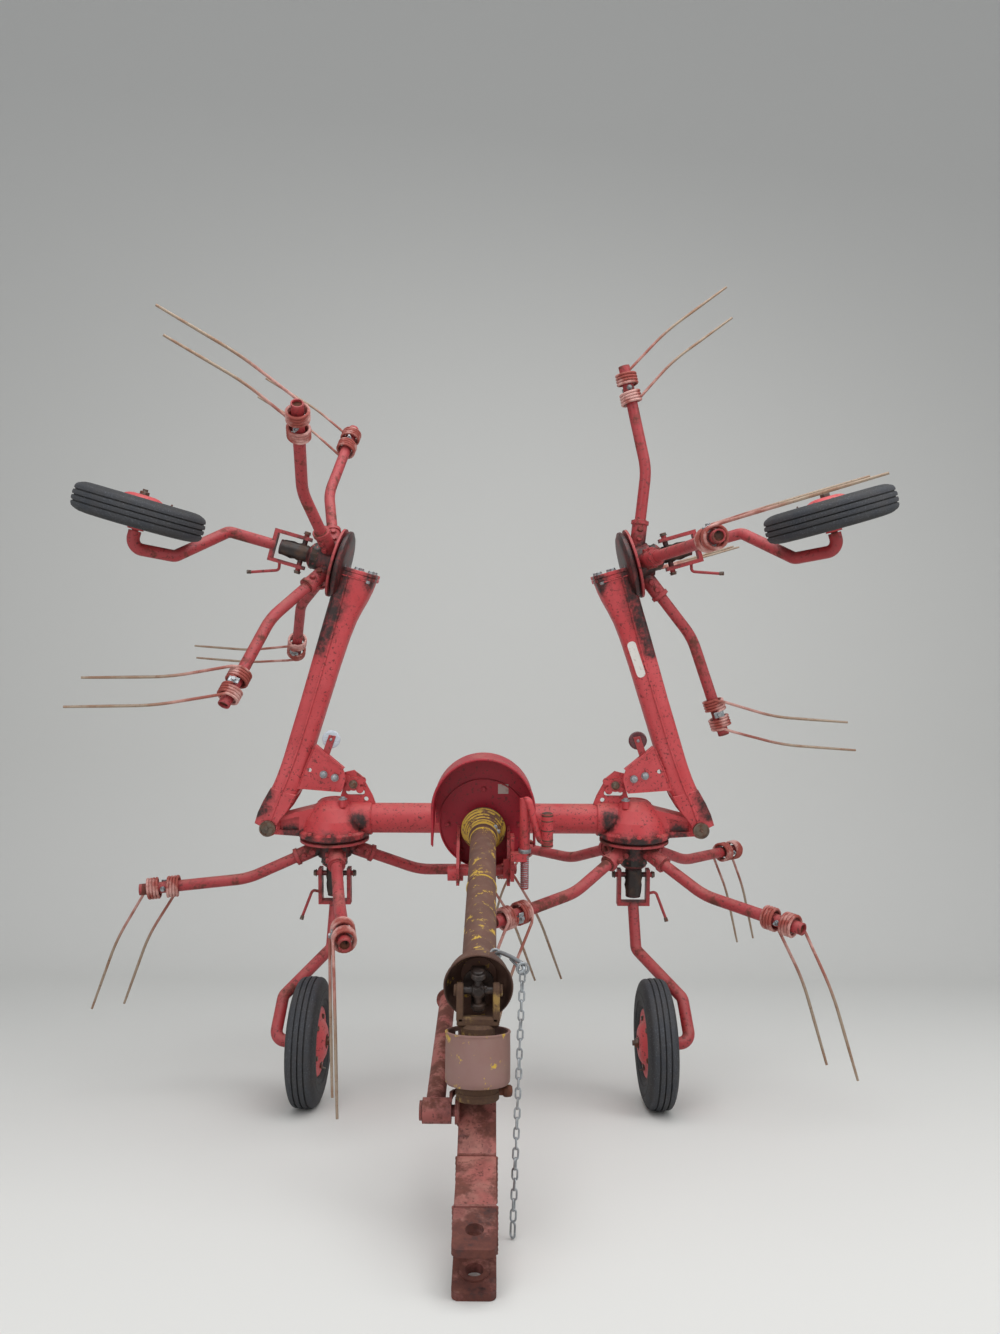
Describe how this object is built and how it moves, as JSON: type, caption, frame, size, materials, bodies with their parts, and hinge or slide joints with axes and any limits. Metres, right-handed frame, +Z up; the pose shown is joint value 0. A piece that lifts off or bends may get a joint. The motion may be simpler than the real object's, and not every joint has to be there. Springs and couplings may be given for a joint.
{
  "type": "trailed rotary hay tedder",
  "caption": "Trailed rotary hay tedder with spring tine rotors on a cross beam, outer arms folded up, drawbar end resting on the ground, drive shaft hanging on its rest.",
  "frame": {"origin": "on the ground, below the middle of the parked machine's overall box", "axes": "+X to the viewer's right when the machine is seen from its drawbar end, +Y to the machine's rear, +Z up"},
  "size_m": [2.6143, 2.4742, 2.6788],
  "materials": {
    "machine_paint": "sun-faded red enamel with rust and scratches",
    "guard_paint": "deep red enamel, scuffed",
    "guard_plastic": "weathered guard, brown with yellow remains",
    "greasy_steel": "oily forged steel",
    "bare_steel": "dull steel with light rust",
    "spring_wire": "spring steel, rusty coils and worn tines",
    "galvanised": "galvanised steel",
    "tyre_rubber": "ribbed tyre, dusty",
    "reflector_white": "clear reflector on a red strip",
    "reflector_red": "dark red reflector on a strip"
  },
  "bodies": {
    "chassis": {"drawbar": "machine_paint", "hitch_clevis": "machine_paint", "shaft_rest": "machine_paint", "stand_pivot": "machine_paint", "cross_beam": "machine_paint", "centre_gearbox": "machine_paint", "tilt_bracket": "machine_paint", "tilt_crank": "machine_paint", "guard_plate": "guard_paint", "guard_hood": "guard_paint", "inner_housing_right": "machine_paint", "inner_housing_left": "machine_paint", "fold_pin_right": "bare_steel", "fold_pin_left": "bare_steel", "lock_plate_right": "machine_paint", "lock_plate_left": "machine_paint", "latch_right": "machine_paint", "latch_left": "machine_paint", "leg_inner_left": "machine_paint", "leg_inner_right": "machine_paint"},
    "shaft": {"shaft_tube": "guard_plastic", "shaft_bell": "guard_plastic", "shaft_joint": "greasy_steel", "hitch_chain": "galvanised"},
    "yoke": {"front_yoke": "greasy_steel", "yoke_sleeve": "guard_plastic"},
    "stand": {"parking_stand": "machine_paint"},
    "arm_left": {"outer_arm_left": "machine_paint", "outer_head_left": "machine_paint", "reflector_left": "reflector_white", "leg_outer_left": "machine_paint"},
    "arm_right": {"outer_arm_right": "machine_paint", "outer_head_right": "machine_paint", "reflector_right": "reflector_red", "leg_outer_right": "machine_paint"},
    "rotor_inner_left": {"rotor_inner_left": "machine_paint", "tines_inner_left": "spring_wire"},
    "wheel_inner_left": {"tyre_inner_left": "tyre_rubber", "rim_inner_left": "machine_paint"},
    "rotor_inner_right": {"rotor_inner_right": "machine_paint", "tines_inner_right": "spring_wire"},
    "wheel_inner_right": {"tyre_inner_right": "tyre_rubber", "rim_inner_right": "machine_paint"},
    "rotor_outer_left": {"rotor_outer_left": "machine_paint", "tines_outer_left": "spring_wire"},
    "wheel_outer_left": {"tyre_outer_left": "tyre_rubber", "rim_outer_left": "machine_paint"},
    "rotor_outer_right": {"rotor_outer_right": "machine_paint", "tines_outer_right": "spring_wire"},
    "wheel_outer_right": {"tyre_outer_right": "tyre_rubber", "rim_outer_right": "machine_paint"}
  },
  "joints": [
    {"name": "arm_left_fold", "type": "hinge", "parent": "chassis", "child": "arm_left", "pos_m": [-0.711, 0.28864, 0.87475], "axis": [0, -0.9635, -0.2678], "range_deg": [0, 106]},
    {"name": "arm_right_fold", "type": "hinge", "parent": "chassis", "child": "arm_right", "pos_m": [0.777, 0.28864, 0.87475], "axis": [0, 0.9635, 0.2678], "range_deg": [0, 106]},
    {"name": "rotor_inner_left_turn", "type": "hinge", "parent": "chassis", "child": "rotor_inner_left", "pos_m": [-0.492, 0.30123, 0.82947], "axis": [0, -0.2678, 0.9635], "continuous": true},
    {"name": "wheel_inner_left_roll", "type": "hinge", "parent": "chassis", "child": "wheel_inner_left", "pos_m": [-0.51, 0.07617, 0.194], "axis": [1, 0, 0], "continuous": true},
    {"name": "rotor_inner_right_turn", "type": "hinge", "parent": "chassis", "child": "rotor_inner_right", "pos_m": [0.558, 0.30123, 0.82947], "axis": [0, -0.2678, 0.9635], "continuous": true},
    {"name": "wheel_inner_right_roll", "type": "hinge", "parent": "chassis", "child": "wheel_inner_right", "pos_m": [0.576, 0.07617, 0.194], "axis": [1, 0, 0], "continuous": true},
    {"name": "rotor_outer_left_turn", "type": "hinge", "parent": "arm_left", "child": "rotor_outer_left", "pos_m": [-0.47277, 0.04481, 1.75211], "axis": [0.9613, 0.0738, -0.2656], "continuous": true},
    {"name": "wheel_outer_left_roll", "type": "hinge", "parent": "arm_left", "child": "wheel_outer_left", "pos_m": [-1.00835, -0.36417, 1.77841], "axis": [-0.2756, 0.2574, -0.9262], "continuous": true},
    {"name": "rotor_outer_right_turn", "type": "hinge", "parent": "arm_right", "child": "rotor_outer_right", "pos_m": [0.53878, 0.04481, 1.75211], "axis": [-0.9613, 0.0738, -0.2656], "continuous": true},
    {"name": "wheel_outer_right_roll", "type": "hinge", "parent": "arm_right", "child": "wheel_outer_right", "pos_m": [1.07435, -0.36417, 1.77841], "axis": [-0.2756, -0.2574, 0.9262], "continuous": true},
    {"name": "shaft_lift", "type": "hinge", "parent": "chassis", "child": "shaft", "pos_m": [0.033, 0.03572, 0.85117], "axis": [-1, 0, 0], "range_deg": [0, 25]},
    {"name": "yoke_swing", "type": "hinge", "parent": "shaft", "child": "yoke", "pos_m": [0.033, -0.90269, 0.47827], "axis": [-1, 0, 0], "range_deg": [0, 60]},
    {"name": "stand_swing", "type": "hinge", "parent": "chassis", "child": "stand", "pos_m": [-0.059, -0.88114, 0.22893], "axis": [-1, 0, 0], "range_deg": [0, 90]}
  ],
  "couplings": [
    {"joint": "rotor_inner_right_turn", "follows": "rotor_inner_left_turn", "ratio": -1},
    {"joint": "rotor_outer_left_turn", "follows": "rotor_inner_left_turn", "ratio": -1},
    {"joint": "rotor_outer_right_turn", "follows": "rotor_inner_left_turn", "ratio": 1}
  ]
}
